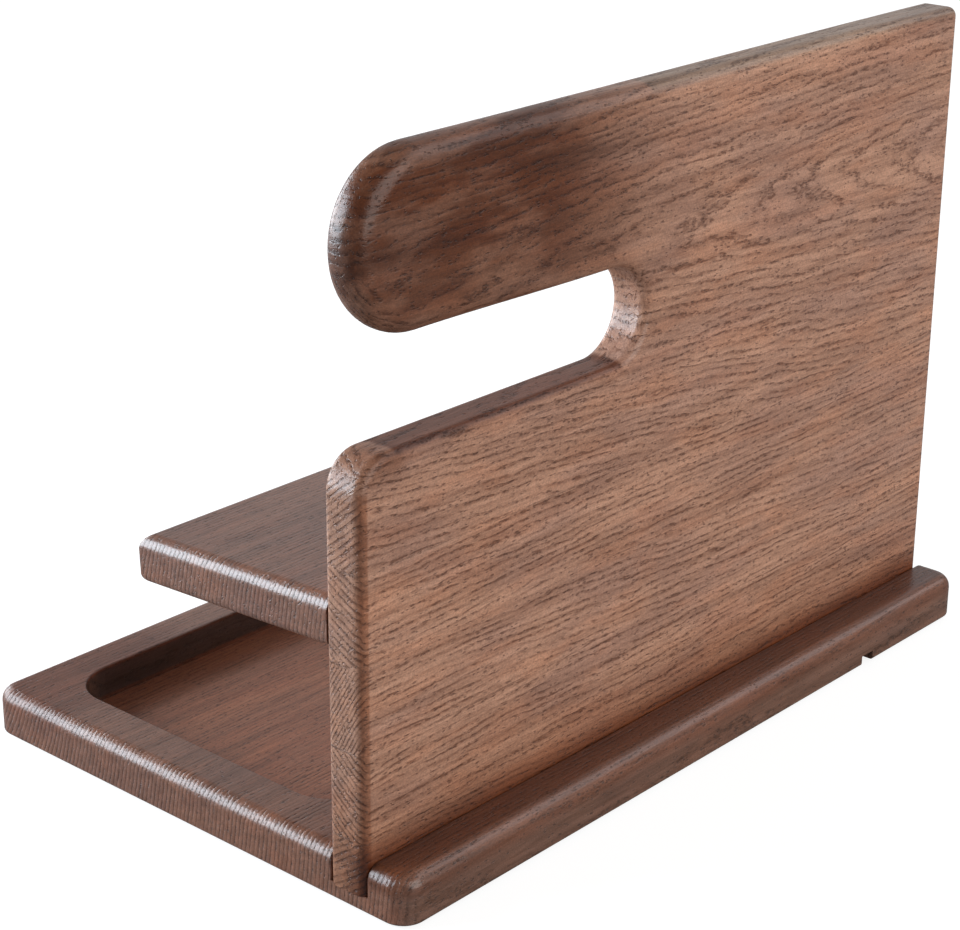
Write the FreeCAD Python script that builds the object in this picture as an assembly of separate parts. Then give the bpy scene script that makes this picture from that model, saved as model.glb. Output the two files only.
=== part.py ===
import FreeCAD, Part
import math
import os

# Wooden valet stand: a base board with a coin tray, an upright panel whose top ends in a watch arm,
# a glasses shelf and a phone ledge on the panel's front, wooden dowels and felt pads.
# Millimetres. +X is the tray and watch end, -Y is the front, +Z is up.
# The origin is the middle of the footprint, on the surface that the stand rests on.

# Base board
BASE_LENGTH = 253.0
BASE_DEPTH = 160.0
BASE_THICKNESS = 13.3
BOARD_CORNER_RADIUS = 6.5
TOP_EDGE_RADIUS = 4.0
UNDERSIDE_EDGE_RADIUS = 0.8

# Groove that the panel stands in, milled from end to end near the rear edge
REAR_RAIL_WIDTH = 12.8
GROOVE_WIDTH = 12.5
GROOVE_DEPTH = 8.7

# Coin tray milled into the base
TRAY_LENGTH = 116.0
TRAY_END_MARGIN = 15.0
TRAY_FRONT_MARGIN = 14.2
TRAY_REAR_MARGIN = 13.4
TRAY_DEPTH = 10.0
TRAY_CORNER_RADIUS = 14.0

# Way for a charging lead: a hole under the phone ledge and a channel to the rear edge
CABLE_FROM_END = 203.0
CABLE_HOLE_DIAMETER = 14.0
CHANNEL_WIDTH = 5.8
CHANNEL_HEIGHT = 3.0
ARRIS_RADIUS = 0.5

# Upright panel
PANEL_LENGTH = 250.0
PANEL_THICKNESS = 12.2
PANEL_PROUD = 0.8
PANEL_TOP_HEIGHT = 189.8
LOWER_CORNER_RADIUS = 10.0
FAR_CORNER_RADIUS = 2.8
PANEL_EDGE_RADIUS = 2.6
ARM_EDGE_RADIUS = 5.8
ARM_HEIGHT = 45.0
NOTCH_HEIGHT = 25.8
NOTCH_LENGTH = 106.2

# Glasses shelf, which falls a little towards the front
SHELF_LENGTH = 108.0
SHELF_PROJECTION = 68.3
SHELF_THICKNESS = 13.0
SHELF_TOP_HEIGHT = 81.6
SHELF_FALL_DEG = 2.6
SHELF_EDGE_RADIUS = 3.8
SHELF_UNDERSIDE_RADIUS = 2.5
SHELF_CORNER_RADIUS = 0.6

# Phone ledge
LEDGE_LENGTH = 126.0
LEDGE_FROM_END = 118.0
LEDGE_PROJECTION = 44.0
LEDGE_THICKNESS = 13.0
LEDGE_TOP_HEIGHT = 43.8
PHONE_GROOVE_SETBACK = 15.0
PHONE_GROOVE_WIDTH = 11.5
PHONE_GROOVE_DEPTH = 5.0
CABLE_SLOT_WIDTH = 13.0

# Dowels that carry the shelf and the ledge
DOWEL_DIAMETER = 6.0
DOWEL_IN_PANEL = 8.0
DOWEL_IN_BOARD = 14.0
DOWEL_CHAMFER = 0.6
DOWEL_CLEARANCE = 0.05
DOWEL_END_GAP = 0.5
DOWEL_END_INSET = 25.0

# Felt pads
PAD_DIAMETER = 12.0
PAD_THICKNESS = 1.0
PAD_EDGE_RADIUS = 0.3
PAD_INSET = 17.0

# Places worked out from the sizes above
X_AXIS = FreeCAD.Vector(1, 0, 0)
Y_AXIS = FreeCAD.Vector(0, 1, 0)
Z_AXIS = FreeCAD.Vector(0, 0, 1)
TOLERANCE = 1e-4
OVERCUT = 5.0

BASE_END_X = (BASE_LENGTH + PANEL_PROUD) / 2 - PANEL_PROUD
BASE_FAR_X = BASE_END_X - BASE_LENGTH
REAR_Y = BASE_DEPTH / 2
FRONT_Y = -BASE_DEPTH / 2
UNDERSIDE_Z = PAD_THICKNESS
BASE_TOP_Z = UNDERSIDE_Z + BASE_THICKNESS
GROOVE_FLOOR_Z = BASE_TOP_Z - GROOVE_DEPTH
GROOVE_REAR_Y = REAR_Y - REAR_RAIL_WIDTH
GROOVE_FRONT_Y = GROOVE_REAR_Y - GROOVE_WIDTH
PANEL_REAR_Y = GROOVE_REAR_Y - (GROOVE_WIDTH - PANEL_THICKNESS) / 2
PANEL_FRONT_Y = PANEL_REAR_Y - PANEL_THICKNESS
PANEL_END_X = BASE_END_X + PANEL_PROUD
PANEL_FAR_X = PANEL_END_X - PANEL_LENGTH
PANEL_TOP_Z = UNDERSIDE_Z + PANEL_TOP_HEIGHT
ARM_UNDERSIDE_Z = PANEL_TOP_Z - ARM_HEIGHT
NOTCH_FLOOR_Z = ARM_UNDERSIDE_Z - NOTCH_HEIGHT
NOTCH_RADIUS = NOTCH_HEIGHT / 2
NOTCH_BOTTOM_X = PANEL_END_X - NOTCH_LENGTH
SHELF_TOP_Z = UNDERSIDE_Z + SHELF_TOP_HEIGHT
LEDGE_TOP_Z = UNDERSIDE_Z + LEDGE_TOP_HEIGHT
LEDGE_NEAR_X = BASE_END_X - LEDGE_FROM_END
CABLE_X = BASE_END_X - CABLE_FROM_END
PHONE_GROOVE_REAR_Y = PANEL_FRONT_Y - PHONE_GROOVE_SETBACK
PHONE_GROOVE_FRONT_Y = PHONE_GROOVE_REAR_Y - PHONE_GROOVE_WIDTH
CABLE_Y = (PHONE_GROOVE_REAR_Y + PHONE_GROOVE_FRONT_Y) / 2


def block(low, high):
    """Return the box between two corners given as (x, y, z)."""
    size = [high[i] - low[i] for i in range(3)]
    return Part.makeBox(size[0], size[1], size[2], FreeCAD.Vector(*low))


def cylinder(centre, direction, radius, length):
    """Return a cylinder that starts at centre, given as (x, y, z), and runs along direction."""
    return Part.makeCylinder(radius, length, FreeCAD.Vector(*centre), direction)


def round_edges(shape, radii_of):
    """Round the edges for which radii_of gives a start and an end radius, all in one operation."""
    document = FreeCAD.newDocument("rounding")
    source = document.addObject("Part::Feature", "source")
    source.Shape = shape
    rules = []
    for index, edge in enumerate(shape.Edges, start=1):
        radii = radii_of(edge)
        if radii:
            rules.append((index, *radii))
    rounding = document.addObject("Part::Fillet", "rounding")
    rounding.Base = source
    rounding.Edges = rules
    document.recompute()
    rounded = rounding.Shape.copy()
    FreeCAD.closeDocument(document.Name)
    return rounded


def vertical_edges(shape, places):
    """Return the shape's upright edges that stand at the given (x, y) places."""
    found = []
    for edge in shape.Edges:
        box = edge.BoundBox
        if box.ZLength < TOLERANCE or box.XLength > TOLERANCE or box.YLength > TOLERANCE:
            continue
        if any(math.hypot(box.XMin - x, box.YMin - y) < TOLERANCE for x, y in places):
            found.append(edge)
    return found


def level_edges(shape, height, kept):
    """Return the edges that lie level at a height and whose middle passes the test called kept."""
    found = []
    for edge in shape.Edges:
        box = edge.BoundBox
        if box.ZLength < TOLERANCE and abs(box.ZMin - height) < TOLERANCE and kept(box.Center):
            found.append(edge)
    return found


def everywhere(_point):
    """Keep every edge."""
    return True


def wall_arrises(shape, walls, floor_z):
    """Return the edges of walls that face along Y, at the given y places, except those on the floor."""
    found = []
    for edge in shape.Edges:
        box = edge.BoundBox
        on_wall = any(abs(box.YMin - y) < TOLERANCE and box.YLength < TOLERANCE for y in walls)
        if on_wall and box.ZMax > floor_z + TOLERANCE:
            found.append(edge)
    return found


def well_inside_base(point):
    """Keep what lies between the base's rounded edges and the groove."""
    margin = BOARD_CORNER_RADIUS
    return (BASE_FAR_X + margin < point.x < BASE_END_X - margin
            and FRONT_Y + margin < point.y < GROOVE_FRONT_Y - margin)


def fixed_board(near_x, length, rear_y, projection, top_z, thickness):
    """Return a board that stands out to the front: rounded front corners and edges, a plain rear face."""
    far_x = near_x - length
    front_y = rear_y - projection
    board = block((far_x, front_y, top_z - thickness), (near_x, rear_y, top_z))

    def radius_of(edge):
        box = edge.BoundBox
        if box.Center.y > rear_y - TOLERANCE:
            return None
        if box.ZLength > TOLERANCE:
            return SHELF_CORNER_RADIUS if box.YMax < front_y + TOLERANCE else None
        return SHELF_EDGE_RADIUS if box.ZMin > top_z - TOLERANCE else SHELF_UNDERSIDE_RADIUS

    return round_edges(board, lambda edge: radius_of(edge) and (radius_of(edge), radius_of(edge)))


def make_base_board():
    """Return the base with its groove, coin tray, cable hole and cable channel."""
    board = block((BASE_FAR_X, FRONT_Y, UNDERSIDE_Z), (BASE_END_X, REAR_Y, BASE_TOP_Z))
    corners = [(x, y) for x in (BASE_FAR_X, BASE_END_X) for y in (FRONT_Y, REAR_Y)]
    board = board.makeFillet(BOARD_CORNER_RADIUS, vertical_edges(board, corners))
    board = board.makeFillet(TOP_EDGE_RADIUS, level_edges(board, BASE_TOP_Z, everywhere))
    board = board.makeFillet(UNDERSIDE_EDGE_RADIUS, level_edges(board, UNDERSIDE_Z, everywhere))
    groove = block((BASE_FAR_X - OVERCUT, GROOVE_FRONT_Y, GROOVE_FLOOR_Z),
                   (BASE_END_X + OVERCUT, GROOVE_REAR_Y, BASE_TOP_Z + OVERCUT))
    board = board.cut(groove)
    arrises = wall_arrises(board, (GROOVE_REAR_Y, GROOVE_FRONT_Y), GROOVE_FLOOR_Z)
    board = board.makeFillet(ARRIS_RADIUS, arrises)
    board = board.cut(tray_space()).cut(cable_way())
    return board.makeFillet(ARRIS_RADIUS, level_edges(board, BASE_TOP_Z, well_inside_base))


def tray_space():
    """Return the block of wood that is milled away to make the coin tray."""
    near_x = BASE_END_X - TRAY_END_MARGIN
    far_x = near_x - TRAY_LENGTH
    rear_y = GROOVE_FRONT_Y - TRAY_REAR_MARGIN
    front_y = FRONT_Y + TRAY_FRONT_MARGIN
    space = block((far_x, front_y, BASE_TOP_Z - TRAY_DEPTH), (near_x, rear_y, BASE_TOP_Z + OVERCUT))
    corners = [(x, y) for x in (far_x, near_x) for y in (front_y, rear_y)]
    return space.makeFillet(TRAY_CORNER_RADIUS, vertical_edges(space, corners))


def cable_way():
    """Return the hole under the phone ledge with the channel that leads from it to the rear edge."""
    hole = cylinder((CABLE_X, CABLE_Y, UNDERSIDE_Z - OVERCUT), Z_AXIS,
                    CABLE_HOLE_DIAMETER / 2, BASE_THICKNESS + 2 * OVERCUT)
    channel = block((CABLE_X - CHANNEL_WIDTH / 2, CABLE_Y, UNDERSIDE_Z - OVERCUT),
                    (CABLE_X + CHANNEL_WIDTH / 2, REAR_Y + OVERCUT, UNDERSIDE_Z + CHANNEL_HEIGHT))
    return hole.fuse(channel)


def quarter_arc(centre_x, centre_z, radius, start_deg):
    """Return the anticlockwise quarter arc in the panel's plane that starts at an angle."""
    angles = [math.radians(start_deg + turn) for turn in (0, 45, 90)]
    points = [FreeCAD.Vector(centre_x + radius * math.cos(a), PANEL_REAR_Y,
                             centre_z + radius * math.sin(a)) for a in angles]
    return Part.Arc(*points).toShape()


def panel_outline():
    """Return the panel's outline as a closed wire on its rear face."""
    far = FAR_CORNER_RADIUS
    low = LOWER_CORNER_RADIUS
    arm = ARM_HEIGHT / 2
    low_z = GROOVE_FLOOR_Z
    arcs = {
        "top_far": quarter_arc(PANEL_FAR_X + far, PANEL_TOP_Z - far, far, 90),
        "arm_top": quarter_arc(PANEL_END_X - arm, PANEL_TOP_Z - arm, arm, 0),
        "arm_low": quarter_arc(PANEL_END_X - arm, ARM_UNDERSIDE_Z + arm, arm, -90),
        "notch_top": quarter_arc(NOTCH_BOTTOM_X + NOTCH_RADIUS, ARM_UNDERSIDE_Z - NOTCH_RADIUS,
                                 NOTCH_RADIUS, 90),
        "notch_low": quarter_arc(NOTCH_BOTTOM_X + NOTCH_RADIUS, NOTCH_FLOOR_Z + NOTCH_RADIUS,
                                 NOTCH_RADIUS, 180),
        "lower_top": quarter_arc(PANEL_END_X - low, NOTCH_FLOOR_Z - low, low, 0),
    }

    def start(name):
        return arcs[name].Vertexes[0].Point

    def end(name):
        return arcs[name].Vertexes[-1].Point

    foot_near = FreeCAD.Vector(PANEL_END_X, PANEL_REAR_Y, low_z)
    foot_far = FreeCAD.Vector(PANEL_FAR_X, PANEL_REAR_Y, low_z)
    lines = [
        (foot_far, end("top_far")),
        (start("top_far"), end("arm_top")),
        (start("arm_low"), start("notch_top")),
        (end("notch_low"), end("lower_top")),
        (start("lower_top"), foot_near),
        (foot_near, foot_far),
    ]
    edges = list(arcs.values()) + [Part.makeLine(a, b) for a, b in lines]
    return Part.Wire(Part.sortEdges(edges)[0])


def edge_radius_at(x, z):
    """Return the panel's edge radius at a place on its outline: larger towards the end of the arm."""
    if z < NOTCH_FLOOR_Z + NOTCH_RADIUS:
        return PANEL_EDGE_RADIUS
    arm_start = PANEL_END_X - ARM_HEIGHT / 2
    share = min(max((x - NOTCH_BOTTOM_X - NOTCH_RADIUS) / (arm_start - NOTCH_BOTTOM_X - NOTCH_RADIUS), 0), 1)
    return PANEL_EDGE_RADIUS + share * (ARM_EDGE_RADIUS - PANEL_EDGE_RADIUS)


def panel_edge_radii(edge):
    """Return the radii at an edge's two ends, or None for an edge that is left sharp."""
    box = edge.BoundBox
    if box.YLength > TOLERANCE or box.ZMax < GROOVE_FLOOR_Z + TOLERANCE:
        return None
    first, last = edge.Vertexes[0].Point, edge.Vertexes[-1].Point
    return edge_radius_at(first.x, first.z), edge_radius_at(last.x, last.z)


def dowel_places(near_x, length):
    """Return the x places of a board's two dowels."""
    return {"outer": near_x - DOWEL_END_INSET, "inner": near_x - length + DOWEL_END_INSET}


def make_back_panel(dowel_rows):
    """Return the panel with its arm, notch and blind dowel holes."""
    face = Part.Face(panel_outline())
    panel = round_edges(face.extrude(Y_AXIS * -PANEL_THICKNESS), panel_edge_radii)
    hole_radius = DOWEL_DIAMETER / 2 + DOWEL_CLEARANCE
    for places, height in dowel_rows:
        for x in places.values():
            panel = panel.cut(cylinder((x, PANEL_FRONT_Y - OVERCUT, height), Y_AXIS, hole_radius,
                                       DOWEL_IN_PANEL + DOWEL_END_GAP + OVERCUT))
    return panel


def make_dowel(x, height):
    """Return one chamfered dowel that joins a board to the panel."""
    start_y = PANEL_FRONT_Y - DOWEL_IN_BOARD
    dowel = cylinder((x, start_y, height), Y_AXIS, DOWEL_DIAMETER / 2, DOWEL_IN_BOARD + DOWEL_IN_PANEL)
    ends = [edge for edge in dowel.Edges if edge.BoundBox.YLength < TOLERANCE]
    return dowel.makeChamfer(DOWEL_CHAMFER, ends)


def drill_board(board, places, height):
    """Return a board with the holes that its dowels are glued into."""
    for x in places.values():
        board = board.cut(cylinder((x, PANEL_FRONT_Y - DOWEL_IN_BOARD - DOWEL_END_GAP, height), Y_AXIS,
                                   DOWEL_DIAMETER / 2, DOWEL_IN_BOARD + DOWEL_END_GAP + OVERCUT))
    return board


def make_glasses_shelf(places, height):
    """Return the shelf, tipped down to the front and cut to lie flat against the panel."""
    board = fixed_board(BASE_END_X, SHELF_LENGTH, PANEL_FRONT_Y + OVERCUT,
                        SHELF_PROJECTION + OVERCUT, SHELF_TOP_Z, SHELF_THICKNESS)
    board.rotate(FreeCAD.Vector(0, PANEL_FRONT_Y, SHELF_TOP_Z), X_AXIS, SHELF_FALL_DEG)
    waste = block((BASE_FAR_X, PANEL_FRONT_Y, UNDERSIDE_Z),
                  (PANEL_END_X + OVERCUT, REAR_Y, PANEL_TOP_Z))
    return drill_board(board.cut(waste), places, height)


def make_phone_ledge(places, height):
    """Return the ledge with the groove that a phone stands in and the slot for its lead."""
    board = fixed_board(LEDGE_NEAR_X, LEDGE_LENGTH, PANEL_FRONT_Y, LEDGE_PROJECTION,
                        LEDGE_TOP_Z, LEDGE_THICKNESS)
    groove = block((LEDGE_NEAR_X - LEDGE_LENGTH - OVERCUT, PHONE_GROOVE_FRONT_Y,
                    LEDGE_TOP_Z - PHONE_GROOVE_DEPTH),
                   (LEDGE_NEAR_X + OVERCUT, PHONE_GROOVE_REAR_Y, LEDGE_TOP_Z + OVERCUT))
    board = board.cut(groove)
    walls = (PHONE_GROOVE_REAR_Y, PHONE_GROOVE_FRONT_Y)
    arrises = wall_arrises(board, walls, LEDGE_TOP_Z - PHONE_GROOVE_DEPTH)
    board = board.makeFillet(ARRIS_RADIUS, arrises).cut(lead_slot())
    return drill_board(board, places, height)


def lead_slot():
    """Return the space of the slot that a charging lead drops through, open at the ledge's front."""
    radius = CABLE_SLOT_WIDTH / 2
    end_y = PHONE_GROOVE_REAR_Y - radius
    low_z = LEDGE_TOP_Z - LEDGE_THICKNESS - OVERCUT
    slot = block((CABLE_X - radius, PANEL_FRONT_Y - LEDGE_PROJECTION - OVERCUT, low_z),
                 (CABLE_X + radius, end_y, LEDGE_TOP_Z + OVERCUT))
    return slot.fuse(cylinder((CABLE_X, end_y, low_z), Z_AXIS, radius, LEDGE_THICKNESS + 2 * OVERCUT))


def make_foot_pad(x, y):
    """Return one felt pad with a softened lower rim."""
    pad = cylinder((x, y, 0), Z_AXIS, PAD_DIAMETER / 2, PAD_THICKNESS)
    return pad.makeFillet(PAD_EDGE_RADIUS, level_edges(pad, 0, everywhere))


def foot_pads():
    """Return the four pads by node name."""
    places = {
        "front_near": (BASE_END_X - PAD_INSET, FRONT_Y + PAD_INSET),
        "front_far": (BASE_FAR_X + PAD_INSET, FRONT_Y + PAD_INSET),
        "rear_near": (BASE_END_X - PAD_INSET, REAR_Y - PAD_INSET),
        "rear_far": (BASE_FAR_X + PAD_INSET, REAR_Y - PAD_INSET),
    }
    return {f"foot_pad_{name}": make_foot_pad(x, y) for name, (x, y) in places.items()}


def make_stand():
    """Return every piece of the stand by node name."""
    shelf_places = dowel_places(BASE_END_X, SHELF_LENGTH)
    shelf_height = SHELF_TOP_Z - SHELF_THICKNESS / 2
    ledge_places = dowel_places(LEDGE_NEAR_X, LEDGE_LENGTH)
    ledge_height = LEDGE_TOP_Z - LEDGE_THICKNESS / 2
    pieces = {
        "base_board": make_base_board(),
        "back_panel": make_back_panel([(shelf_places, shelf_height), (ledge_places, ledge_height)]),
        "glasses_shelf": make_glasses_shelf(shelf_places, shelf_height),
        "phone_ledge": make_phone_ledge(ledge_places, ledge_height),
    }
    for side, x in shelf_places.items():
        pieces[f"shelf_dowel_{side}"] = make_dowel(x, shelf_height)
    for side, x in ledge_places.items():
        pieces[f"ledge_dowel_{side}"] = make_dowel(x, ledge_height)
    pieces.update(foot_pads())
    return pieces


os.makedirs("parts", exist_ok=True)
for node, shape in make_stand().items():
    print(node, "valid" if shape.isValid() else "BROKEN", "mm3", round(shape.Volume, 1))
    shape.exportStep(f"parts/{node}.step")
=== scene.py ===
import logging
import math
from dataclasses import dataclass, field
from enum import Enum
from typing import ClassVar, Union

import bpy
from mathutils import Matrix, Vector


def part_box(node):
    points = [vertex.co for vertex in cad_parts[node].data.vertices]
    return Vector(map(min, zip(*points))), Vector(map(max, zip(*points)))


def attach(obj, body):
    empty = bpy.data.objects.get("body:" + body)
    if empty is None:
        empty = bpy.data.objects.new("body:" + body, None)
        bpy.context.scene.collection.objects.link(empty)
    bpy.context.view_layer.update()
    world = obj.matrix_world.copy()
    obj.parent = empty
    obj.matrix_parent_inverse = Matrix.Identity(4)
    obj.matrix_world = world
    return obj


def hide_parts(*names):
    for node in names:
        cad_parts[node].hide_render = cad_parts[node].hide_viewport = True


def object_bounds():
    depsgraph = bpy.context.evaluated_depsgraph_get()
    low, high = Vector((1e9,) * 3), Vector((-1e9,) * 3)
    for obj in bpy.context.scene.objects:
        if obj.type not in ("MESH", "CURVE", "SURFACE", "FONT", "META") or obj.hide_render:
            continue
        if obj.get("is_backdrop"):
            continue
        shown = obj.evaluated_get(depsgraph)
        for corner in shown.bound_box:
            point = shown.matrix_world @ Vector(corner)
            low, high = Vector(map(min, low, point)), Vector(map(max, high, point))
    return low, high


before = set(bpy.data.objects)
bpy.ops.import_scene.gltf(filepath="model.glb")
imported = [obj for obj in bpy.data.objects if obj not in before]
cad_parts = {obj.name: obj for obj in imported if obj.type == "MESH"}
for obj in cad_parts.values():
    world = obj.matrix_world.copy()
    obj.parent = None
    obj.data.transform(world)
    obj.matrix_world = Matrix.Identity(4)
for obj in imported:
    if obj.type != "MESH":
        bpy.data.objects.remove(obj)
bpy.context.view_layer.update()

MM = 0.001
# A place in millimetres that is past the stand on every side.
FAR = 400.0
LOG = logging.getLogger("valet_stand")

Socket = bpy.types.NodeSocket
Input = Union[Socket, float]
Colour = tuple[float, float, float]
Size = tuple[float, float, float]


class Side(Enum):
    """Which of a board's two dowels is meant."""

    OUTER = "outer"
    INNER = "inner"


class Corner(Enum):
    """The corner of the base that a foot pad sits under."""

    FRONT_NEAR = "front_near"
    FRONT_FAR = "front_far"
    REAR_NEAR = "rear_near"
    REAR_FAR = "rear_far"


class Cloud(Enum):
    """The sizes of the clouds that make up a board's figure, along X, Y and Z."""

    VIGOUR = (26.0, 4.0, 4.0)
    CHUNK = (2.6, 0.9, 0.9)
    PORE_WIND = (5.0, 2.0, 2.0)
    STREAK = (60.0, 3.0, 3.0)
    FLOW = (14.0, 1.1, 1.1)
    FIBRE = (7.0, 0.35, 0.35)
    GRAIN = (0.6, 0.4, 0.4)
    PATCH = (48.0, 18.0, 18.0)
    WARMTH = (30.0, 7.0, 7.0)
    BLOTCH = (26.0, 8.0, 8.0)


class Bench:
    """Lays out the nodes of one material, with lengths in millimetres."""

    # The lacquer fills most of the relief below it.
    COAT_FOLLOWS = 0.22
    COAT_ROUGHNESS = 0.2
    NOISE_ROUGHNESS = 0.55
    NODE_STEP = 180

    def __init__(self, name: str) -> None:
        """Start an empty material.

        Args:
            name: The material's name.
        """
        self.material = bpy.data.materials.new(name)
        self.material.use_nodes = True
        self.tree = self.material.node_tree
        self.tree.nodes.clear()
        self.column = 0
        place = self.node("ShaderNodeTexCoord").outputs["Object"]
        self.place = self.move("SCALE", place, scale=1 / MM)

    def node(self, kind: str, **settings: object) -> bpy.types.Node:
        """Add a node.

        Args:
            kind: The node's type name.
            settings: Properties to set on it.

        Returns:
            The new node.
        """
        made = self.tree.nodes.new(kind)
        made.location = (self.column * self.NODE_STEP, 0)
        self.column += 1
        for key, value in settings.items():
            setattr(made, key, value)
        return made

    def feed(self, socket: Socket, value: object) -> None:
        """Link a socket into another, or set it to a plain value.

        Args:
            socket: The input to fill.
            value: A node's output, a number or a tuple.
        """
        if isinstance(value, bpy.types.NodeSocket):
            self.tree.links.new(value, socket)
        else:
            socket.default_value = value

    def sum(self, operation: str, first: Input, second: Input = 0.0,
            clamp: bool = False) -> Socket:
        """Do one step of arithmetic.

        Args:
            operation: The Math node's operation.
            first: The first number.
            second: The second number.
            clamp: Whether the result is kept from 0 to 1.

        Returns:
            The result's socket.
        """
        made = self.node("ShaderNodeMath", operation=operation, use_clamp=clamp)
        self.feed(made.inputs[0], first)
        self.feed(made.inputs[1], second)
        return made.outputs[0]

    def move(self, operation: str, first: object, second: object = None,
             scale: float = 1.0) -> Socket:
        """Do one step of vector arithmetic.

        Args:
            operation: The Vector Math node's operation.
            first: The first vector.
            second: The second vector, where there is one.
            scale: The factor of a SCALE operation.

        Returns:
            The result's socket.
        """
        made = self.node("ShaderNodeVectorMath", operation=operation)
        self.feed(made.inputs[0], first)
        if second is not None:
            self.feed(made.inputs[1], second)
        if operation == "SCALE":
            made.inputs["Scale"].default_value = scale
        return made.outputs[0]

    def split(self, vector: Socket) -> tuple[Socket, Socket, Socket]:
        """Take a vector apart.

        Args:
            vector: The vector.

        Returns:
            Its x, y and z.
        """
        made = self.node("ShaderNodeSeparateXYZ")
        self.feed(made.inputs[0], vector)
        return made.outputs[0], made.outputs[1], made.outputs[2]

    def ease(self, value: Input, low: float, high: float, start: float = 0.0,
             end: float = 1.0) -> Socket:
        """Turn a range of values smoothly into another.

        Args:
            value: The number to turn.
            low: Where the change begins.
            high: Where it ends.
            start: The result up to low.
            end: The result from high.

        Returns:
            The result's socket.
        """
        made = self.node("ShaderNodeMapRange", interpolation_type="SMOOTHSTEP")
        for index, part in enumerate((value, low, high, start, end)):
            self.feed(made.inputs[index], part)
        return made.outputs[0]

    def cloud(self, size: Size, detail: float = 2.0, shift: Size = (0, 0, 0)) -> Socket:
        """Make smooth noise whose blobs have about the given size.

        Args:
            size: A blob's length along X, Y and Z.
            detail: How many finer layers are added.
            shift: How far the pattern is moved, so that two pieces differ.

        Returns:
            A value about 0.5.
        """
        moved = self.move("ADD", self.place, shift)
        scaled = self.move("MULTIPLY", moved, tuple(1 / part for part in size))
        made = self.node("ShaderNodeTexNoise", noise_dimensions="3D")
        self.feed(made.inputs["Vector"], scaled)
        made.inputs["Scale"].default_value = 1.0
        made.inputs["Detail"].default_value = detail
        made.inputs["Roughness"].default_value = self.NOISE_ROUGHNESS
        return made.outputs["Fac"]

    def specks(self, size: Size, shift: Size = (0, 0, 0),
               bent: Input = 0.0) -> tuple[Socket, Socket]:
        """Make scattered specks of about the given size.

        Args:
            size: A speck's cell along X, Y and Z.
            shift: How far the pattern is moved.
            bent: How far each place is moved across the grain, so that the specks wind.

        Returns:
            The distance from the nearest speck's middle, and a random value for that speck.
        """
        across = self.node("ShaderNodeCombineXYZ")
        self.feed(across.inputs["Y"], bent)
        self.feed(across.inputs["Z"], bent)
        moved = self.move("ADD", self.move("ADD", self.place, shift), across.outputs[0])
        scaled = self.move("MULTIPLY", moved, tuple(1 / part for part in size))
        made = self.node("ShaderNodeTexVoronoi", voronoi_dimensions="3D", feature="F1")
        self.feed(made.inputs["Vector"], scaled)
        made.inputs["Scale"].default_value = 1.0
        chance = self.split(made.outputs["Color"])[0]
        return made.outputs["Distance"], chance

    def blend(self, share: Input, low: object, high: object, kind: str = "MIX") -> Socket:
        """Mix two colours.

        Args:
            share: How much of the second colour there is.
            low: The first colour.
            high: The second colour.
            kind: The Mix node's blend type.

        Returns:
            The mixed colour's socket.
        """
        made = self.node("ShaderNodeMix", data_type="RGBA", blend_type=kind)
        colours = [(*part, 1.0) if isinstance(part, tuple) else part for part in (low, high)]
        self.feed(made.inputs["Factor"], share)
        self.feed(made.inputs[6], colours[0])
        self.feed(made.inputs[7], colours[1])
        return made.outputs[2]

    def relief(self, height: Socket, depth: float) -> Socket:
        """Give the surface a relief.

        Args:
            height: The relief, from 0 for deep to 1 for high.
            depth: How deep a relief of 1 is.

        Returns:
            The surface's direction.
        """
        made = self.node("ShaderNodeBump")
        made.inputs["Strength"].default_value = 1.0
        made.inputs["Distance"].default_value = depth * MM
        self.feed(made.inputs["Height"], height)
        return made.outputs[0]

    def finish(self, colour: Socket, roughness: Input, height: Socket, depth: float,
               sheen: float = 0.0, gloss: float = 0.5, coat: Input = 0.0) -> bpy.types.Material:
        """Close the material with its shader.

        Args:
            colour: The base colour.
            roughness: The roughness.
            height: The relief, from 0 for deep to 1 for high.
            depth: How deep a relief of 1 is.
            sheen: The weight of the sheen.
            gloss: The specular level.
            coat: The weight of the clear coat.

        Returns:
            The finished material.
        """
        relief = self.relief(height, depth)
        shader = self.node("ShaderNodeBsdfPrincipled")
        self.feed(shader.inputs["Base Color"], colour)
        self.feed(shader.inputs["Roughness"], roughness)
        self.feed(shader.inputs["Normal"], relief)
        shader.inputs["Sheen Weight"].default_value = sheen
        shader.inputs["Specular IOR Level"].default_value = gloss
        self.feed(shader.inputs["Coat Weight"], coat)
        shader.inputs["Coat Roughness"].default_value = self.COAT_ROUGHNESS
        self.feed(shader.inputs["Coat Normal"], self.relief(height, depth * self.COAT_FOLLOWS))
        output = self.node("ShaderNodeOutputMaterial")
        self.feed(output.inputs["Surface"], shader.outputs[0])
        return self.material


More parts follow.
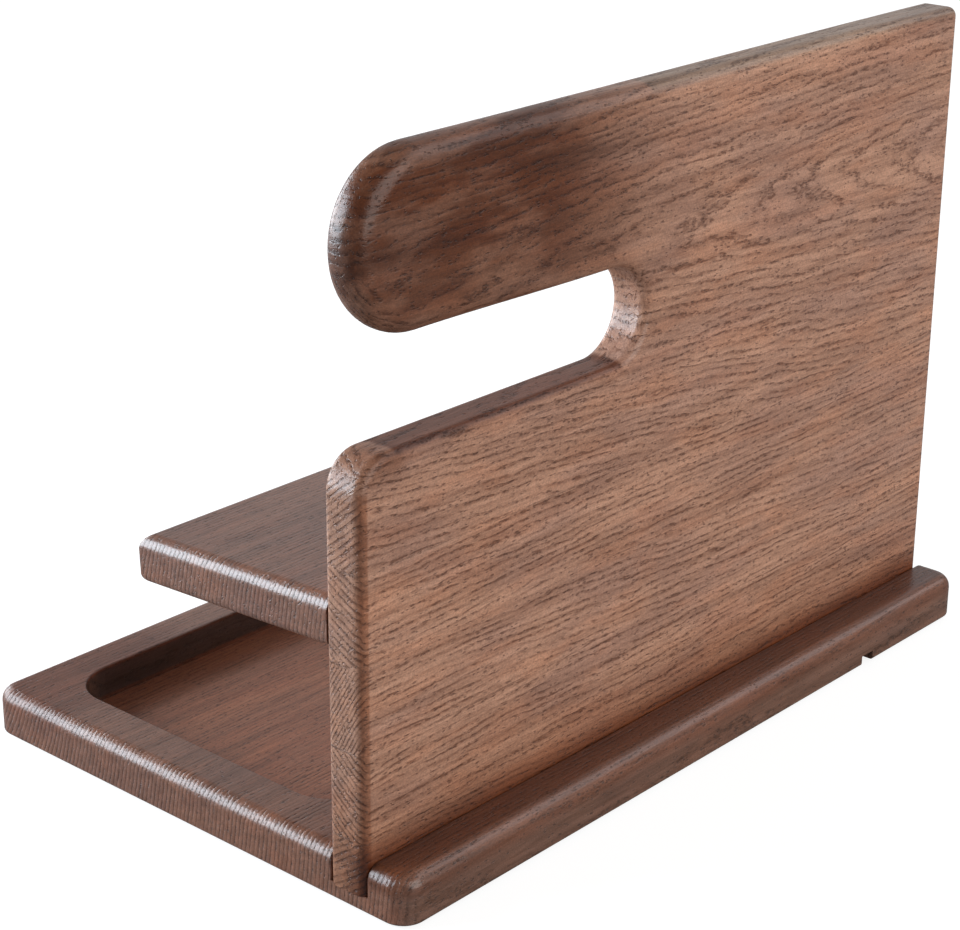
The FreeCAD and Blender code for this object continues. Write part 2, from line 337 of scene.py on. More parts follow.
@dataclass(frozen=True)
class Zone:
    """A box in the board where its colour or finish differs, fading out over a soft edge.

    The tint multiplies the colour, and roughness is added. A tint is the wood's own stain in some
    zones and painted shade, painted light or painted reflection in others. Uneven is how much of
    the tint comes and goes in blotches, and dull is how much of the lacquer is missing.
    """

    low: Size
    high: Size
    edge: float
    tint: Colour = (1.0, 1.0, 1.0)
    share: float = 1.0
    roughness: float = 0.0
    uneven: float = 0.0
    dull: float = 0.0

    def mask(self, bench: Bench) -> Socket:
        """Return the share of the zone's finish at each place.

        Args:
            bench: The material's nodes.

        Returns:
            A value from 0 to the zone's share.
        """
        inside: Input = self.share
        for axis, place in enumerate(bench.split(bench.place)):
            entry = bench.ease(place, self.low[axis] - self.edge, self.low[axis] + self.edge)
            leave = bench.ease(place, self.high[axis] - self.edge, self.high[axis] + self.edge,
                               1.0, 0.0)
            inside = bench.sum("MULTIPLY", inside, bench.sum("MULTIPLY", entry, leave))
        if self.uneven:
            blotches = bench.cloud(Cloud.BLOTCH.value, 3.0)
            mottle = bench.ease(blotches, 0.38, 0.62, 1.0 - self.uneven, 1.0)
            inside = bench.sum("MULTIPLY", inside, mottle)
        return inside


@dataclass(frozen=True)
class Stave:
    """One of the strips that a board is glued up from, and how the year rings run in it."""

    top: float = 1000.0
    slope: float = 0.0
    lean: float = 0.0


@dataclass(frozen=True)
class StainedAsh:
    """Open-pored ash, stained dark walnut and lacquered satin. Its grain runs along X."""

    # How the year rings wander: the size of each wave, and its share of the waviness.
    WAVES: ClassVar[tuple[tuple[Size, float], ...]] = (
        ((120, 34, 34), 1.0), ((26, 7, 7), 0.32), ((7, 2.4, 2.4), 0.2))
    WAVES_IN_END: ClassVar[float] = 0.3
    # The cell of each kind of pore, and how many cells hold one in early wood.
    PORE_CELLS: ClassVar[tuple[tuple[Size, float], ...]] = (
        ((2.6, 0.85, 0.85), 0.8), ((1.6, 0.6, 0.6), 0.75))
    PORES_IN_LATE_WOOD: ClassVar[float] = 0.12
    PORE_STAIN: ClassVar[float] = 0.6
    PORE_ROUGHNESS: ClassVar[float] = 0.12
    # Each mark's share of the relief.
    PORE_DEPTH: ClassVar[float] = 0.5
    ROW_DEPTH: ClassVar[float] = 0.3
    FIBRE_DEPTH: ClassVar[float] = 0.2
    PATCH_TINT: ClassVar[Colour] = (0.82, 0.84, 0.91)
    WARM_TINT: ClassVar[Colour] = (1.05, 0.98, 0.93)
    GRAIN_TINT: ClassVar[Colour] = (1.30, 1.28, 1.26)
    JOINT: ClassVar[float] = 0.4

    name: str
    light: Colour
    dark: Colour
    pore: Colour
    heart_y: float
    heart_z: float
    ring_pitch: float
    shift: Size
    taper: float = 0.0
    waviness: float = 6.0
    ring_contrast: float = 0.45
    pore_bend: float = 2.4
    roughness: float = 0.36
    relief: float = 0.2
    gloss: float = 0.45
    coat: float = 0.35
    end_x: float = 126.1
    end_deep: float = 1.3
    end_relief: float = 0.3
    end_rows: float = 1.4
    staves: tuple[Stave, ...] = (Stave(),)
    face_y: float = 0.0
    zones: tuple[Zone, ...] = ()

    def ring_place(self, bench: Bench) -> Socket:
        """Find how far each place is from the tree's heart.

        Args:
            bench: The material's nodes.

        Returns:
            The distance in ring widths.
        """
        x, y, z = bench.split(bench.place)
        slope = self.by_stave(bench, z, [stave.slope for stave in self.staves])
        lean = self.by_stave(bench, z, [stave.lean for stave in self.staves])
        heart = bench.sum("ADD", bench.sum("MULTIPLY", x, slope), self.heart_z)
        across = bench.sum("SUBTRACT", z, heart)
        deep = bench.sum("SUBTRACT", y, self.heart_y)
        radius = bench.sum("SQRT", bench.sum("ADD", bench.sum("MULTIPLY", across, across),
                                             bench.sum("MULTIPLY", deep, deep)))
        radius = bench.sum("ADD", radius, bench.sum("MULTIPLY", x, self.taper))
        inward = bench.sum("SUBTRACT", y, self.face_y)
        radius = bench.sum("ADD", radius, bench.sum("MULTIPLY", lean, inward))
        in_end = self.waviness * self.WAVES_IN_END
        calm = bench.ease(self.end_grain(bench), 0.0, 1.0, self.waviness, in_end)
        for size, share in self.WAVES:
            wave = bench.sum("SUBTRACT", bench.cloud(size, 1.0, self.shift), 0.5)
            reach = bench.sum("MULTIPLY", calm, share)
            radius = bench.sum("ADD", radius, bench.sum("MULTIPLY", wave, reach))
        return bench.sum("DIVIDE", radius, self.ring_pitch)

    def by_stave(self, bench: Bench, height: Socket, values: list[float]) -> Input:
        """Return a value that changes from stave to stave up the board.

        Args:
            bench: The material's nodes.
            height: How high each place is.
            values: The value in each stave, from the lowest.

        Returns:
            The value at each place.
        """
        value: Input = values[0]
        for stave, below, above in zip(self.staves, values, values[1:]):
            change = bench.ease(height, stave.top - self.JOINT, stave.top + self.JOINT,
                                0.0, above - below)
            value = bench.sum("ADD", value, change)
        return value

    def early_wood(self, bench: Bench, rings: Socket) -> Socket:
        """Find how porous the wood is.

        Args:
            bench: The material's nodes.
            rings: The distance from the tree's heart, in ring widths.

        Returns:
            1 where a year's growth starts, falling to 0.
        """
        phase = bench.sum("FRACT", rings)
        fall = bench.ease(phase, 0.08, 0.52, 1.0, 0.0)
        rise = bench.ease(phase, 0.88, 1.0, 0.0, 1.0)
        vigour = bench.ease(bench.cloud(Cloud.VIGOUR.value, 2.0, self.shift), 0.36, 0.62, 0.4, 1.0)
        chunks = bench.ease(bench.cloud(Cloud.CHUNK.value, 1.0, self.shift), 0.40, 0.58, 0.3, 1.0)
        row = bench.sum("MULTIPLY", bench.sum("MAXIMUM", fall, rise), vigour)
        return bench.sum("MULTIPLY", row, bench.sum("MAXIMUM", chunks, self.end_grain(bench)))

    def end_grain(self, bench: Bench) -> Socket:
        """Return where the board's end grain shows: 1 on its end, 0 elsewhere."""
        full = self.end_x - 0.3
        return bench.ease(bench.split(bench.place)[0], full - self.end_deep, full)

    def pores(self, bench: Bench, early: Socket) -> Socket:
        """Find the dark pore strokes, dense in early wood and rarer elsewhere.

        Args:
            bench: The material's nodes.
            early: How porous the wood is.

        Returns:
            1 in the middle of a stroke and 0 outside.
        """
        strokes: Input = 0.0
        wind = bench.sum("SUBTRACT", bench.cloud(Cloud.PORE_WIND.value, 1.0), 0.5)
        bent = bench.sum("MULTIPLY", wind, self.pore_bend)
        for size, most in self.PORE_CELLS:
            distance, chance = bench.specks(size, self.shift, bent)
            limit = bench.ease(early, 0.1, 0.8, self.PORES_IN_LATE_WOOD, most)
            there = bench.sum("LESS_THAN", chance, limit)
            stroke = bench.ease(distance, 0.12, 0.46, 1.0, 0.0)
            strokes = bench.sum("MAXIMUM", strokes, bench.sum("MULTIPLY", stroke, there))
        return strokes

    def tone(self, bench: Bench, early: Socket, fibre: Socket) -> Socket:
        """Find how dark the stain has taken.

        Args:
            bench: The material's nodes.
            early: How porous the wood is.
            fibre: The finest streaks.

        Returns:
            A value from 0 to 1.
        """
        streaks = bench.cloud(Cloud.STREAK.value, 3.0, self.shift)
        flow = bench.cloud(Cloud.FLOW.value, 2.0, self.shift)
        tone = bench.sum("ADD", bench.ease(streaks, 0.3, 0.7, 0.0, 0.35),
                         bench.ease(flow, 0.3, 0.7, 0.0, 0.2))
        tone = bench.sum("ADD", tone, bench.ease(fibre, 0.3, 0.7, 0.0, 0.2))
        return bench.sum("ADD", tone, bench.sum("MULTIPLY", early, self.ring_contrast), True)

    def material(self) -> bpy.types.Material:
        """Mix the finish.

        Returns:
            The finished material.
        """
        bench = Bench(self.name)
        rings = self.early_wood(bench, self.ring_place(bench))
        strokes = self.pores(bench, rings)
        end = self.end_grain(bench)
        early = bench.sum("MULTIPLY", rings, bench.ease(end, 0.0, 1.0, 1.0, self.end_rows))
        fibre = bench.cloud(Cloud.FIBRE.value, 2.0, self.shift)
        grain = bench.cloud(Cloud.GRAIN.value, 1.0, self.shift)
        colour = bench.blend(self.tone(bench, early, fibre), self.light, self.dark)
        patches = bench.cloud(Cloud.PATCH.value, 2.0, self.shift)
        warmth = bench.cloud(Cloud.WARMTH.value, 2.0, self.shift[::-1])
        for share, tint in ((bench.ease(patches, 0.40, 0.66, 0.0, 0.8), self.PATCH_TINT),
                            (bench.ease(warmth, 0.45, 0.65), self.WARM_TINT),
                            (bench.ease(grain, 0.35, 0.65), self.GRAIN_TINT)):
            colour = bench.blend(share, colour, tint, "MULTIPLY")
        colour = bench.blend(bench.sum("MULTIPLY", strokes, self.PORE_STAIN), colour, self.pore)
        rough = bench.sum("ADD", bench.sum("MULTIPLY", strokes, self.PORE_ROUGHNESS),
                          bench.ease(fibre, 0.2, 0.8, self.roughness - 0.05, self.roughness + 0.08))
        coat: Input = self.coat
        # Each zone multiplies its tint into the colour: in some zones that is the wood's stain, in
        # others it is painted shade, painted light or painted reflection.
        for zone in self.zones:
            mask = zone.mask(bench)
            colour = bench.blend(mask, colour, zone.tint, "MULTIPLY")
            rough = bench.sum("ADD", rough, bench.sum("MULTIPLY", mask, zone.roughness))
            if zone.dull:
                coat = bench.sum("MULTIPLY", coat, bench.ease(mask, 0.0, 1.0, 1.0, 1.0 - zone.dull))
        row_depth = bench.ease(end, 0.0, 1.0, self.ROW_DEPTH, self.end_relief)
        sunk = bench.sum("ADD", bench.sum("MULTIPLY", strokes, self.PORE_DEPTH),
                         bench.sum("MULTIPLY", early, row_depth))
        sunk = bench.sum("ADD", sunk, bench.sum("MULTIPLY", fibre, self.FIBRE_DEPTH))
        height = bench.sum("SUBTRACT", 1.0, sunk)
        return bench.finish(colour, rough, height, self.relief, gloss=self.gloss, coat=coat)


@dataclass(frozen=True)
class BareBeech:
    """Pale bare beech with short darker flecks, as dowels are made of. Its grain runs along Y."""

    name: str = "bare_beech"
    light: Colour = (0.62, 0.43, 0.25)
    dark: Colour = (0.42, 0.26, 0.13)

    def material(self) -> bpy.types.Material:
        """Mix the finish.

        Returns:
            The finished material.
        """
        bench = Bench(self.name)
        distance, chance = bench.specks((0.35, 1.6, 0.35))
        fleck = bench.sum("MULTIPLY", bench.ease(distance, 0.15, 0.45, 1.0, 0.0),
                          bench.sum("LESS_THAN", chance, 0.45))
        streaks = bench.cloud((0.6, 14, 0.6), 2.0)
        tone = bench.sum("ADD", bench.sum("MULTIPLY", fleck, 0.5),
                         bench.ease(streaks, 0.3, 0.7, 0.0, 0.5), True)
        colour = bench.blend(tone, self.light, self.dark)
        height = bench.sum("SUBTRACT", 1.0, fleck)
        return bench.finish(colour, bench.ease(streaks, 0.2, 0.8, 0.55, 0.7), height, 0.04)


@dataclass(frozen=True)
class PressedFelt:
    """Dark pressed felt with matted fibres."""

    name: str = "pressed_felt"
    light: Colour = (0.075, 0.062, 0.055)
    dark: Colour = (0.022, 0.018, 0.016)

    def material(self) -> bpy.types.Material:
        """Mix the finish.

        Returns:
            The finished material.
        """
        bench = Bench(self.name)
        matted = bench.cloud((0.35, 0.35, 0.35), 4.0)
        clumps = bench.cloud((2.2, 2.2, 0.8), 2.0, (7.0, 3.0, 1.0))
        tone = bench.sum("MULTIPLY", bench.ease(matted, 0.3, 0.7),
                         bench.ease(clumps, 0.2, 0.8, 0.6, 1.0))
        colour = bench.blend(tone, self.dark, self.light)
        rough = bench.ease(clumps, 0.2, 0.8, 0.9, 1.0)
        return bench.finish(colour, rough, matted, 0.25, sheen=0.6, gloss=0.2)


def hand_over(piece: bpy.types.Object, material: bpy.types.Material, body: str) -> None:
    """Dress a finished piece and let it move with its body.

    Args:
        piece: The piece.
        material: Its finish.
        body: The body it moves with.
    """
    piece.data.materials.clear()
    piece.data.materials.append(material)
    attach(piece, body)
    LOG.info("%s moves with %s", piece.name, body)


def dress_node(node: str, material: bpy.types.Material) -> None:
    """Give a wooden board its finish.

    Args:
        node: The board's node.
        material: Its finish.
    """
    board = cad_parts[node]
    board.data.materials.clear()
    board.data.materials.append(material)
    LOG.info("%s has the finish %s", node, material.name)


def start_edit(piece: bpy.types.Object, kind: str) -> None:
    """Open one piece in edit mode with nothing selected.

    Args:
        piece: The piece.
        kind: VERT, EDGE or FACE.
    """
    bpy.ops.object.select_all(action="DESELECT")
    piece.select_set(True)
    bpy.context.view_layer.objects.active = piece
    bpy.ops.object.mode_set(mode="EDIT")
    bpy.ops.mesh.select_mode(type=kind)
    bpy.ops.mesh.select_all(action="DESELECT")
    bpy.ops.object.mode_set(mode="OBJECT")


def select_edges(piece: bpy.types.Object, flat_at: float, axis: int) -> None:
    """Select the edges whose both ends lie at one height along an axis.

    Args:
        piece: The piece, in object mode.
        flat_at: The height.
        axis: 0, 1 or 2 for X, Y or Z.
    """
    points = piece.data.vertices
    nearby = 0.01 * MM
    for edge in piece.data.edges:
        edge.select = all(abs(points[index].co[axis] - flat_at) < nearby for index in edge.vertices)


def round_cylinder(name: str, radius: float, low: Vector, high: Vector, axis: int,
                   sides: int) -> bpy.types.Object:
    """Add a cylinder that fills a box along one axis, with its place in its mesh.

    Args:
        name: The object's name.
        radius: The cylinder's radius.
        low: The box's lowest corner.
        high: The box's highest corner.
        axis: 1 for a cylinder along Y, or 2 for one along Z.
        sides: How many sides it has.

    Returns:
        The new object.
    """
    bpy.ops.object.select_all(action="DESELECT")
    turn = (math.pi / 2, 0.0, 0.0) if axis == 1 else (0.0, 0.0, 0.0)
    bpy.ops.mesh.primitive_cylinder_add(vertices=sides, radius=radius, depth=high[axis] - low[axis],
                                        location=(low + high) / 2, rotation=turn)
    made = bpy.context.active_object
    made.name = name
    bpy.ops.object.transform_apply(location=True, rotation=True, scale=True)
    return made


@dataclass
class Dowel:
    """A fluted beech dowel, half in the panel and half glued into a board."""

    body: str
    diameter: float = 6.0
    chamfer: float = 0.6
    flutes: int = 16
    flute_depth: float = 0.18
    flute_side: float = 0.06
    faces_per_flute: int = 4
    smooth_below: float = 30.0

    def build(self, side: Side, material: bpy.types.Material) -> bpy.types.Object:
        """Model one dowel in the place of its node.

        Args:
            side: Which of the board's dowels it is.
            material: Its finish.

        Returns:
            The dowel.
        """
        node = f"{self.body}_dowel_{side.value}"
        low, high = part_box(node)
        dowel = round_cylinder(f"{node}_fluted", self.diameter / 2 * MM, low, high, 1,
                               self.flutes * self.faces_per_flute)
        for end in (low.y, high.y):
            start_edit(dowel, "EDGE")
            select_edges(dowel, end, 1)
            bpy.ops.object.mode_set(mode="EDIT")
            bpy.ops.mesh.bevel(offset=self.chamfer * MM, segments=2)
            bpy.ops.object.mode_set(mode="OBJECT")
        self.sink_flutes(dowel)
        bpy.ops.object.shade_smooth_by_angle(angle=math.radians(self.smooth_below))
        hand_over(dowel, material, self.body)
        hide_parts(node)
        return dowel

    def sink_flutes(self, dowel: bpy.types.Object) -> None:
        """Press grooves into the sides, along the dowel.

        Args:
            dowel: The dowel, in object mode.
        """
        start_edit(dowel, "FACE")
        faces = self.flutes * self.faces_per_flute
        middle = sum((point.co for point in dowel.data.vertices), Vector()) / len(dowel.data.vertices)
        for face in dowel.data.polygons:
            if abs(face.normal.y) > 0.1:
                continue
            away = face.center - middle
            turn = math.atan2(away.z, away.x) / (2 * math.pi) * faces
            face.select = round(turn - 0.5) % self.faces_per_flute == 0
        bpy.ops.object.mode_set(mode="EDIT")
        bpy.ops.mesh.inset(thickness=self.flute_side * MM, depth=-self.flute_depth * MM,
                           use_individual=True)
        bpy.ops.object.mode_set(mode="OBJECT")


@dataclass
class FootPad:
    """A round felt pad, a little matted and pressed out at its lower rim."""

    diameter: float = 12.0
    rim: float = 0.35
    upper_rim_share: float = 0.35
    sides: int = 48
    smooth_below: float = 50.0

    def build(self, material: bpy.types.Material) -> None:
        """Model one pad and copy it to the base's other corners.

        Args:
            material: The pads' finish.
        """
        first, *others = Corner
        low, high = self.place(first)
        pad = round_cylinder(f"felt_pad_{first.value}", self.diameter / 2 * MM, low, high, 2,
                             self.sides)
        for height, share in ((low.z, 1.0), (high.z, self.upper_rim_share)):
            start_edit(pad, "EDGE")
            select_edges(pad, height, 2)
            bpy.ops.object.mode_set(mode="EDIT")
            bpy.ops.mesh.bevel(offset=self.rim * share * MM, segments=4)
            bpy.ops.object.mode_set(mode="OBJECT")
        bpy.ops.object.shade_smooth_by_angle(angle=math.radians(self.smooth_below))
        for corner in others:
            copy = bpy.data.objects.new(f"felt_pad_{corner.value}", pad.data.copy())
            bpy.context.scene.collection.objects.link(copy)
            copy.data.transform(Matrix.Translation(self.place(corner)[0] - low))
            self.hand_in(copy, corner, material)
        self.hand_in(pad, first, material)

    def place(self, corner: Corner) -> tuple[Vector, Vector]:
        """Return the box of a corner's pad."""
        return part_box(f"foot_pad_{corner.value}")

    def hand_in(self, pad: bpy.types.Object, corner: Corner, material: bpy.types.Material) -> None:
        """Dress one pad and put it in its node's place.

        Args:
            pad: The pad.
            corner: The corner that it sits under.
            material: Its finish.
        """
        hand_over(pad, material, "base")
        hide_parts(f"foot_pad_{corner.value}")


# Painted light: the pocket floor is lifted above the board's own colour and reddened, standing in for
# light that reaches it; its roughness is raised too.
TRAY_FLOOR_PAINTED_LIGHT = Zone(low=(-4.6, -65.5, 0.0), high=(110.8, 41.0, 13.9), edge=0.3,
                  tint=(1.5, 1.22, 0.94), roughness=0.2)
# Painted shade: the pocket walls are darkened and cooled to near black, standing in for the shade and
# the dark reflection inside the pocket.
TRAY_WALL_PAINTED_SHADE = Zone(low=(-12.0, -70.0, 5.4), high=(115.0, 47.0, 13.4), edge=0.5,
                 tint=(0.45, 0.78, 1.15))
# Painted shade: the top's front near corner is darkened where its reflection of the room is weaker;
# dull also thins the lacquer there.
FRONT_CORNER_PAINTED_SHADE = Zone(low=(70.0, -FAR, 13.0), high=(FAR, -50.0, 30.0), edge=16.0,
                    tint=(0.60, 0.40, 0.40), dull=0.95)
END_ROUND = Zone(low=(122.6, -FAR, 9.8), high=(FAR, FAR, FAR), edge=0.8, dull=0.45)
# Painted shade and painted reflection: the rail's top behind the panel is darkened for the panel's
# shadow and reddened for its reflection of the panel.
RAIL_TOP_PAINTED_SHADE = Zone(low=(-FAR, 66.0, 9.0), high=(FAR, 76.5, FAR), edge=2.0, tint=(0.62, 0.46, 0.32))
# Painted reflection: the rail's rear face is made greyer and bluer, standing in for its reflection of
# the pale floor.
RAIL_REAR_PAINTED_REFLECTION = Zone(low=(-FAR, 77.5, -FAR), high=(FAR, FAR, 9.0), edge=2.0, tint=(1.02, 1.25, 1.45))


@dataclass
class Base:
    """The base board with its felt pads."""

    finish: StainedAsh = StainedAsh(
        name="base_ash",
        light=(0.235, 0.102, 0.062),
        dark=(0.075, 0.0245, 0.0100),
        pore=(0.026, 0.010, 0.007),
        heart_y=-120.0, heart_z=30.0, ring_pitch=1.45, shift=(0.0, 0.0, 0.0),
        ring_contrast=0.4, waviness=4.0, coat=0.55,
        end_deep=3.6, end_relief=1.9, end_rows=0.5,
        zones=(TRAY_FLOOR_PAINTED_LIGHT, TRAY_WALL_PAINTED_SHADE, FRONT_CORNER_PAINTED_SHADE, END_ROUND, RAIL_TOP_PAINTED_SHADE, RAIL_REAR_PAINTED_REFLECTION))
    pad: FootPad = field(default_factory=FootPad)

    def build(self) -> None:
        """Dress the board and model the pads."""
        dress_node("base_board", self.finish.material())
        self.pad.build(PressedFelt().material())


# The arm and the top of the panel are much darker and redder, in blotches: partly the wood's darker
# tone, partly painted shade of the watches that hang on the arm.
ARM = Zone(low=(27.0, -FAR, 132.0), high=(FAR, FAR, FAR), edge=40.0, tint=(0.21, 0.10, 0.04),
           uneven=0.25)
# Painted shade: the rounded edge between the panel's end and its rear face is darkened, standing in
# for the shade between the lamps that light those faces.
END_EDGE_PAINTED_SHADE = Zone(low=(124.2, 64.2, -FAR), high=(126.5, FAR, 112.0), edge=0.5,
                tint=(0.70, 0.57, 0.48))
END_FACE = Zone(low=(125.4, -FAR, -FAR), high=(FAR, FAR, FAR), edge=0.8, tint=(0.72, 0.67, 0.64),
                share=0.9)
# Painted shade: the top corner of the panel below the notch is darkened under the arm; dull also
# thins the lacquer there.
LOWER_CORNER_PAINTED_SHADE = Zone(low=(112.0, -FAR, 114.0), high=(FAR, FAR, 126.0), edge=2.5,
                    tint=(0.76, 0.68, 0.62), dull=0.5)
# Painted shade: the top edge below the notch is darkened, standing in for the shadow of the arm and
# the watches; dull also thins the lacquer there.
NOTCH_EDGE_PAINTED_SHADE = Zone(low=(30.0, -FAR, 118.8), high=(114.0, FAR, 121.5), edge=1.0,
                  tint=(0.40, 0.27, 0.22), dull=0.6)
# Painted shade: the panel's top edge, away from the arm's end, is dimmed and made less red, standing
# in for less light there.
TOP_EDGE_PAINTED_SHADE = Zone(low=(-FAR, -FAR, 188.8), high=(20.0, FAR, FAR), edge=1.2, tint=(0.70, 0.82, 0.84))
# The panel is darker and redder towards its foot, deepest just above the rail: partly painted shade
# where it stands in the rail.
FOOT = Zone(low=(-FAR, 62.0, -FAR), high=(FAR, FAR, 18.5), edge=4.5, tint=(0.42, 0.27, 0.18))
FOOT_FADE = Zone(low=(-FAR, -FAR, -FAR), high=(FAR, FAR, 26.0), edge=14.0,
                 tint=(0.76, 0.65, 0.56))


@dataclass
class Panel:
    """The upright panel with the watch arm."""

    finish: StainedAsh = StainedAsh(
        name="panel_ash",
        light=(0.585, 0.332, 0.229),
        dark=(0.202, 0.094, 0.058),
        pore=(0.112, 0.044, 0.026),
        heart_y=50.0, heart_z=150.0, ring_pitch=2.0, shift=(310.0, 40.0, 90.0),
        ring_contrast=0.6, waviness=9.0, taper=0.07, face_y=67.05,
        staves=(Stave(top=20.3, slope=-0.04, lean=0.6),
                Stave(top=44.4, slope=-0.07, lean=-0.9),
                Stave(top=67.0, slope=-0.02, lean=1.6),
                Stave(top=91.7, slope=-0.07, lean=-0.7),
                Stave(top=115.5, slope=0.03, lean=0.6),
                Stave(top=139.3, slope=-0.02, lean=-0.6),
                Stave(top=163.1, slope=0.0, lean=0.6),
                Stave(slope=0.02, lean=-0.6)),
        zones=(ARM, END_EDGE_PAINTED_SHADE, END_FACE, LOWER_CORNER_PAINTED_SHADE, NOTCH_EDGE_PAINTED_SHADE, TOP_EDGE_PAINTED_SHADE, FOOT, FOOT_FADE),
        gloss=0.28, coat=0.3, relief=0.3, end_x=126.9, end_rows=1.15)

    def build(self) -> None:
        """Dress the panel."""
        dress_node("back_panel", self.finish.material())


@dataclass
class Shelf:
    """The glasses shelf with its two dowels."""

    finish: StainedAsh = StainedAsh(
        name="shelf_ash",
        light=(0.245, 0.110, 0.069),
        dark=(0.079, 0.0265, 0.0128),
        pore=(0.026, 0.011, 0.008),
        heart_y=-150.0, heart_z=110.0, ring_pitch=1.4, shift=(50.0, 260.0, 10.0),
        waviness=4.0, coat=0.5, end_relief=1.5, end_rows=0.6)
    dowel: Dowel = field(default_factory=lambda: Dowel("shelf"))

    def build(self, dowel_material: bpy.types.Material) -> None:
        """Dress the shelf and model its dowels.

        Args:
            dowel_material: The dowels' finish.
        """
        dress_node("glasses_shelf", self.finish.material())
        for side in Side:
            self.dowel.build(side, dowel_material)


@dataclass
class Ledge:
    """The phone ledge with its two dowels."""

    finish: StainedAsh = StainedAsh(
        name="ledge_ash",
        light=(0.180, 0.070, 0.038),
        dark=(0.088, 0.031, 0.016),
        pore=(0.026, 0.011, 0.008),
        heart_y=-40.0, heart_z=-60.0, ring_pitch=1.7, shift=(500.0, 10.0, 170.0),
        ring_contrast=0.4, waviness=5.0)
    dowel: Dowel = field(default_factory=lambda: Dowel("ledge"))

    def build(self, dowel_material: bpy.types.Material) -> None:
        """Dress the ledge and model its dowels.

        Args:
            dowel_material: The dowels' finish.
        """
        dress_node("phone_ledge", self.finish.material())
        for side in Side:
            self.dowel.build(side, dowel_material)


@dataclass
class Camera:
    """The camera, which looks at the stand's rear from the watch arm's end."""

    place: Size = (492.17, 428.0, 320.07)
    yaw: float = 41.606
    pitch: float = 21.523
    roll: float = 0.337
    focal_px: float = 2412.72
    centre_px: tuple[float, float] = (478.08, 474.86)
    image_px: tuple[int, int] = (960, 930)
    sensor: float = 36.0

    def build(self) -> None:
        """Make the camera and hand it to the scene."""
        yaw, pitch, roll = (math.radians(angle) for angle in (self.yaw, self.pitch, self.roll))
        ahead = Vector((-math.cos(yaw) * math.cos(pitch), -math.sin(yaw) * math.cos(pitch),
                        -math.sin(pitch)))
        right = Vector((-math.sin(yaw), math.cos(yaw), 0.0))
        up = right.cross(ahead)
        side = right * math.cos(roll) + up * math.sin(roll)
        top = up * math.cos(roll) - right * math.sin(roll)
        data = bpy.data.cameras.new("camera")
        data.sensor_width = self.sensor
        data.lens = self.focal_px / self.image_px[0] * self.sensor
        data.shift_x = (self.image_px[0] / 2 - self.centre_px[0]) / self.image_px[0]
        data.shift_y = (self.centre_px[1] - self.image_px[1] / 2) / self.image_px[0]
        camera = bpy.data.objects.new("camera", data)
        bpy.context.scene.collection.objects.link(camera)
        turn = Matrix((side, top, -ahead)).transposed().to_4x4()
        camera.matrix_world = Matrix.Translation(Vector(self.place) * MM) @ turn
        bpy.context.scene.camera = camera


@dataclass(frozen=True)
class Softbox:
    """A square lamp that faces the middle of the stand."""

    name: str
    toward: Size
    away: float
    size: float
    power: float
    tint: Colour = (1.0, 1.0, 1.0)

    def build(self, target: Vector) -> None:
        """Add the lamp.

        Args:
            target: The point it faces.
        """
        data = bpy.data.lights.new(self.name, "AREA")
        data.shape = "SQUARE"
        data.size = self.size
        data.energy = self.power
        data.color = self.tint
        lamp = bpy.data.objects.new(self.name, data)
        bpy.context.scene.collection.objects.link(lamp)
        lamp.location = target + Vector(self.toward).normalized() * self.away
        lamp.rotation_euler = (target - lamp.location).to_track_quat("-Z", "Y").to_euler()


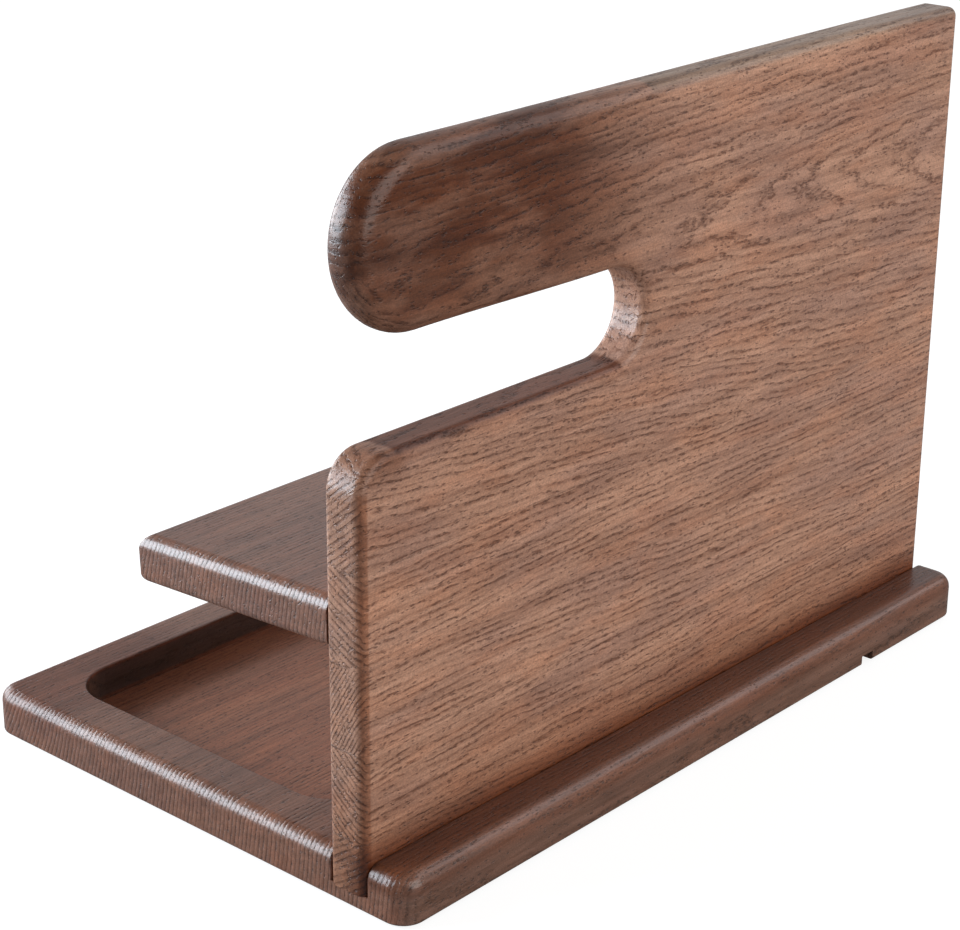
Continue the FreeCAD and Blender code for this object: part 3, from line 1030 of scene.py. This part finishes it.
@dataclass
class Studio:
    """A pale floor, a white surround and soft lamps."""

    floor_size: float = 6.0
    floor_grey: float = 0.3
    floor_glow: float = 0.86
    ambient: float = 0.2
    mirrored: float = 0.2
    lamps: tuple[Softbox, ...] = (
        Softbox("front_window", toward=(0.68, -0.70, 0.28), away=1.3, size=0.85, power=26.0,
                tint=(0.76, 0.89, 1.0)),
        Softbox("front_low", toward=(0.1, -0.99, 0.06), away=1.2, size=0.8, power=14.0,
                tint=(0.86, 0.93, 1.0)),
        Softbox("front_screen", toward=(-0.78, -0.50, 0.38), away=1.6, size=1.5, power=2.2,
                tint=(0.95, 0.97, 1.0)),
        Softbox("high_softbox", toward=(-0.70, 0.37, 0.62), away=1.6, size=0.9, power=3.6,
                tint=(0.92, 0.96, 1.0)),
        Softbox("rear_softbox", toward=(-0.10, 0.94, 0.30), away=2.4, size=2.3, power=44.0,
                tint=(1.0, 0.97, 0.94)),
    )

    def build(self) -> None:
        """Make the floor, the world and the lamps."""
        self.add_floor()
        self.add_world()
        low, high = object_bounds()
        for lamp in self.lamps:
            lamp.build((Vector(low) + Vector(high)) / 2)
        view = bpy.context.scene.view_settings
        view.view_transform = "Standard"

    def add_floor(self) -> None:
        """Add the floor, which keeps the stand's shadow."""
        bpy.ops.object.select_all(action="DESELECT")
        bpy.ops.mesh.primitive_plane_add(size=self.floor_size, location=(0.0, 0.0, 0.0))
        floor = bpy.context.active_object
        floor.name = "floor"
        material = bpy.data.materials.new("floor_white")
        material.use_nodes = True
        tree = material.node_tree
        tree.nodes.clear()
        path = tree.nodes.new("ShaderNodeLightPath")
        matt = tree.nodes.new("ShaderNodeBsdfDiffuse")
        matt.inputs["Color"].default_value = (self.floor_grey,) * 3 + (1.0,)
        lit = tree.nodes.new("ShaderNodeEmission")
        lit.inputs["Strength"].default_value = self.floor_glow
        both = tree.nodes.new("ShaderNodeAddShader")
        mix = tree.nodes.new("ShaderNodeMixShader")
        output = tree.nodes.new("ShaderNodeOutputMaterial")
        tree.links.new(matt.outputs[0], both.inputs[0])
        tree.links.new(lit.outputs[0], both.inputs[1])
        tree.links.new(path.outputs["Is Camera Ray"], mix.inputs[0])
        tree.links.new(matt.outputs[0], mix.inputs[1])
        tree.links.new(both.outputs[0], mix.inputs[2])
        tree.links.new(mix.outputs[0], output.inputs["Surface"])
        floor.data.materials.append(material)
        floor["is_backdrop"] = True

    def add_world(self) -> None:
        """Add a surround that is white to the eye and plain as a light."""
        world = bpy.data.worlds.new("surround")
        world.use_nodes = True
        tree = world.node_tree
        tree.nodes.clear()
        path = tree.nodes.new("ShaderNodeLightPath")
        glossy = tree.nodes.new("ShaderNodeMix")
        glossy.inputs[2].default_value = self.ambient
        glossy.inputs[3].default_value = self.mirrored
        seen = tree.nodes.new("ShaderNodeMix")
        seen.inputs[3].default_value = 1.0
        background = tree.nodes.new("ShaderNodeBackground")
        background.inputs["Color"].default_value = (1.0, 1.0, 1.0, 1.0)
        output = tree.nodes.new("ShaderNodeOutputWorld")
        tree.links.new(path.outputs["Is Glossy Ray"], glossy.inputs[0])
        tree.links.new(glossy.outputs[0], seen.inputs[2])
        tree.links.new(path.outputs["Is Camera Ray"], seen.inputs[0])
        tree.links.new(seen.outputs[0], background.inputs["Strength"])
        tree.links.new(background.outputs[0], output.inputs["Surface"])
        bpy.context.scene.world = world


def main() -> None:
    """Build the stand's looks, the studio and the camera."""
    logging.basicConfig(level=logging.INFO)
    beech = BareBeech().material()
    Base().build()
    Panel().build()
    Shelf().build(beech)
    Ledge().build(beech)
    Studio().build()
    Camera().build()


if __name__ == "__main__":
    main()
